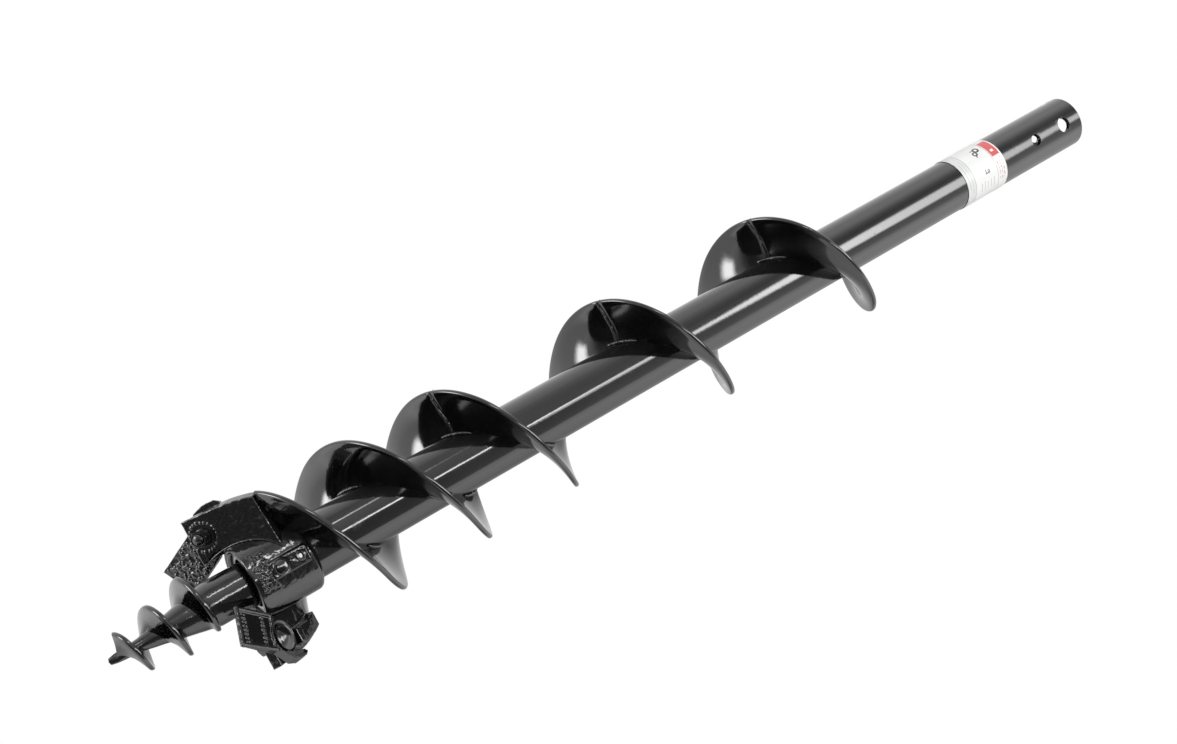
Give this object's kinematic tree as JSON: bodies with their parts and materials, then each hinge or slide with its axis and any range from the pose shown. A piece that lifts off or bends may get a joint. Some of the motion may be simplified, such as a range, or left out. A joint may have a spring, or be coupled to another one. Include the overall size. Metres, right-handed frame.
{
  "type": "earth auger bit",
  "caption": "Long steel auger bit with a plain drive tube, welded spiral flighting, a cast head with bolted cutting teeth and a screw pilot.",
  "frame": {"origin": "centre of the drive tube's open end face", "axes": "+Z along the tube toward the machine, so the bit points down -Z; the drive pin hole runs along Y"},
  "size_m": [0.1589, 0.1499, 1.212],
  "materials": {
    "gloss_black_paint": "gloss",
    "painted_casting": "gloss over rough casting",
    "painted_fastener": "gloss",
    "label_film": "satin"
  },
  "bodies": {
    "root": {"shaft_tube": "gloss_black_paint", "label": "label_film", "head_collar": "painted_casting", "wing_plate_a": "painted_casting", "wing_plate_b": "painted_casting", "tooth_a": "painted_casting", "tooth_b": "painted_casting", "tooth_bolt_a": "painted_fastener", "tooth_bolt_b": "painted_fastener", "tooth_washer_a": "painted_fastener", "tooth_washer_b": "painted_fastener", "tooth_nut_a": "painted_fastener", "tooth_nut_b": "painted_fastener", "pilot_core": "gloss_black_paint", "pilot_flight": "gloss_black_paint", "pilot_pin": "painted_fastener", "collar_set_screw": "painted_fastener", "flight_section_1": "gloss_black_paint", "flight_section_2": "gloss_black_paint", "flight_section_3": "gloss_black_paint", "flight_section_4": "gloss_black_paint", "starter_flight": "gloss_black_paint"}
  },
  "joints": []
}
